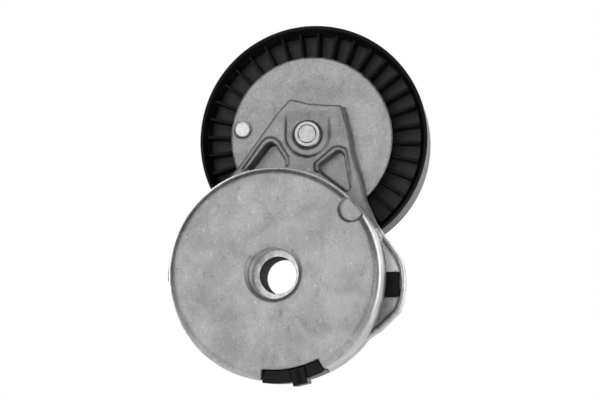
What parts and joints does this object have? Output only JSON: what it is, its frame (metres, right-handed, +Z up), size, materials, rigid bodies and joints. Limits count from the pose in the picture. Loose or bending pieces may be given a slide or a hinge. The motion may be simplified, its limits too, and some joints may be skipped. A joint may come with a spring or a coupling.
{
  "type": "belt tensioner",
  "caption": "Automatic belt tensioner: a round cast base with a torsion spring, a swinging cast arm and a smooth black idler pulley on a sealed ball bearing.",
  "frame": {"origin": "centre of the locating bore at its mouth in the base's flat rear face", "axes": "+Y along the mounting bore from the rear face to the front, +Z up the arm's side towards the pulley, +X to the right seen from the rear"},
  "size_m": [0.0774, 0.0494, 0.1105],
  "materials": {
    "cast_base": "die cast, lightly blasted",
    "cast_arm": "die cast, lightly blasted",
    "turned_steel": "turned",
    "ground_steel": "ground",
    "zinc_plate": "zinc plated",
    "spring_steel": "oil tempered",
    "black_polyamide": "moulded",
    "cage_polyamide": "moulded",
    "seal_rubber": "moulded",
    "pulley_plastic": "moulded, satin"
  },
  "bodies": {
    "base": {"base_housing": "cast_base", "pivot_shaft": "turned_steel", "spring_bush": "black_polyamide", "torsion_spring": "spring_steel", "retaining_plate": "turned_steel", "rear_thrust_washer": "black_polyamide", "front_thrust_washer": "black_polyamide"},
    "arm": {"arm_casting": "cast_arm", "pivot_bush": "black_polyamide", "damper_ring": "black_polyamide", "pulley_bolt": "zinc_plate", "bolt_washer": "zinc_plate", "bearing_inner_race": "ground_steel"},
    "pulley": {"idler_pulley": "pulley_plastic", "bearing_outer_race": "ground_steel", "bearing_seal_rear": "seal_rubber", "bearing_seal_front": "seal_rubber", "dust_cap": "pulley_plastic"},
    "cage": {"bearing_cage": "cage_polyamide", "bearing_balls": "ground_steel"}
  },
  "joints": [
    {"name": "arm_pivot", "type": "hinge", "parent": "base", "child": "arm", "pos_m": [0, 0.017, 0], "axis": [0, 1, 0], "range_deg": [0, 34], "stiffness_Nm_per_rad": 18, "springref_deg": -20.05, "deforming": ["torsion_spring"]},
    {"name": "pulley_spin", "type": "hinge", "parent": "arm", "child": "pulley", "pos_m": [0.0077, 0.0342, 0.0427], "axis": [0, 1, 0], "continuous": true},
    {"name": "cage_spin", "type": "hinge", "parent": "arm", "child": "cage", "pos_m": [0.0077, 0.0342, 0.0427], "axis": [0, 1, 0], "continuous": true}
  ],
  "couplings": [
    {"joint": "cage_spin", "follows": "pulley_spin", "ratio": 0.6184}
  ]
}
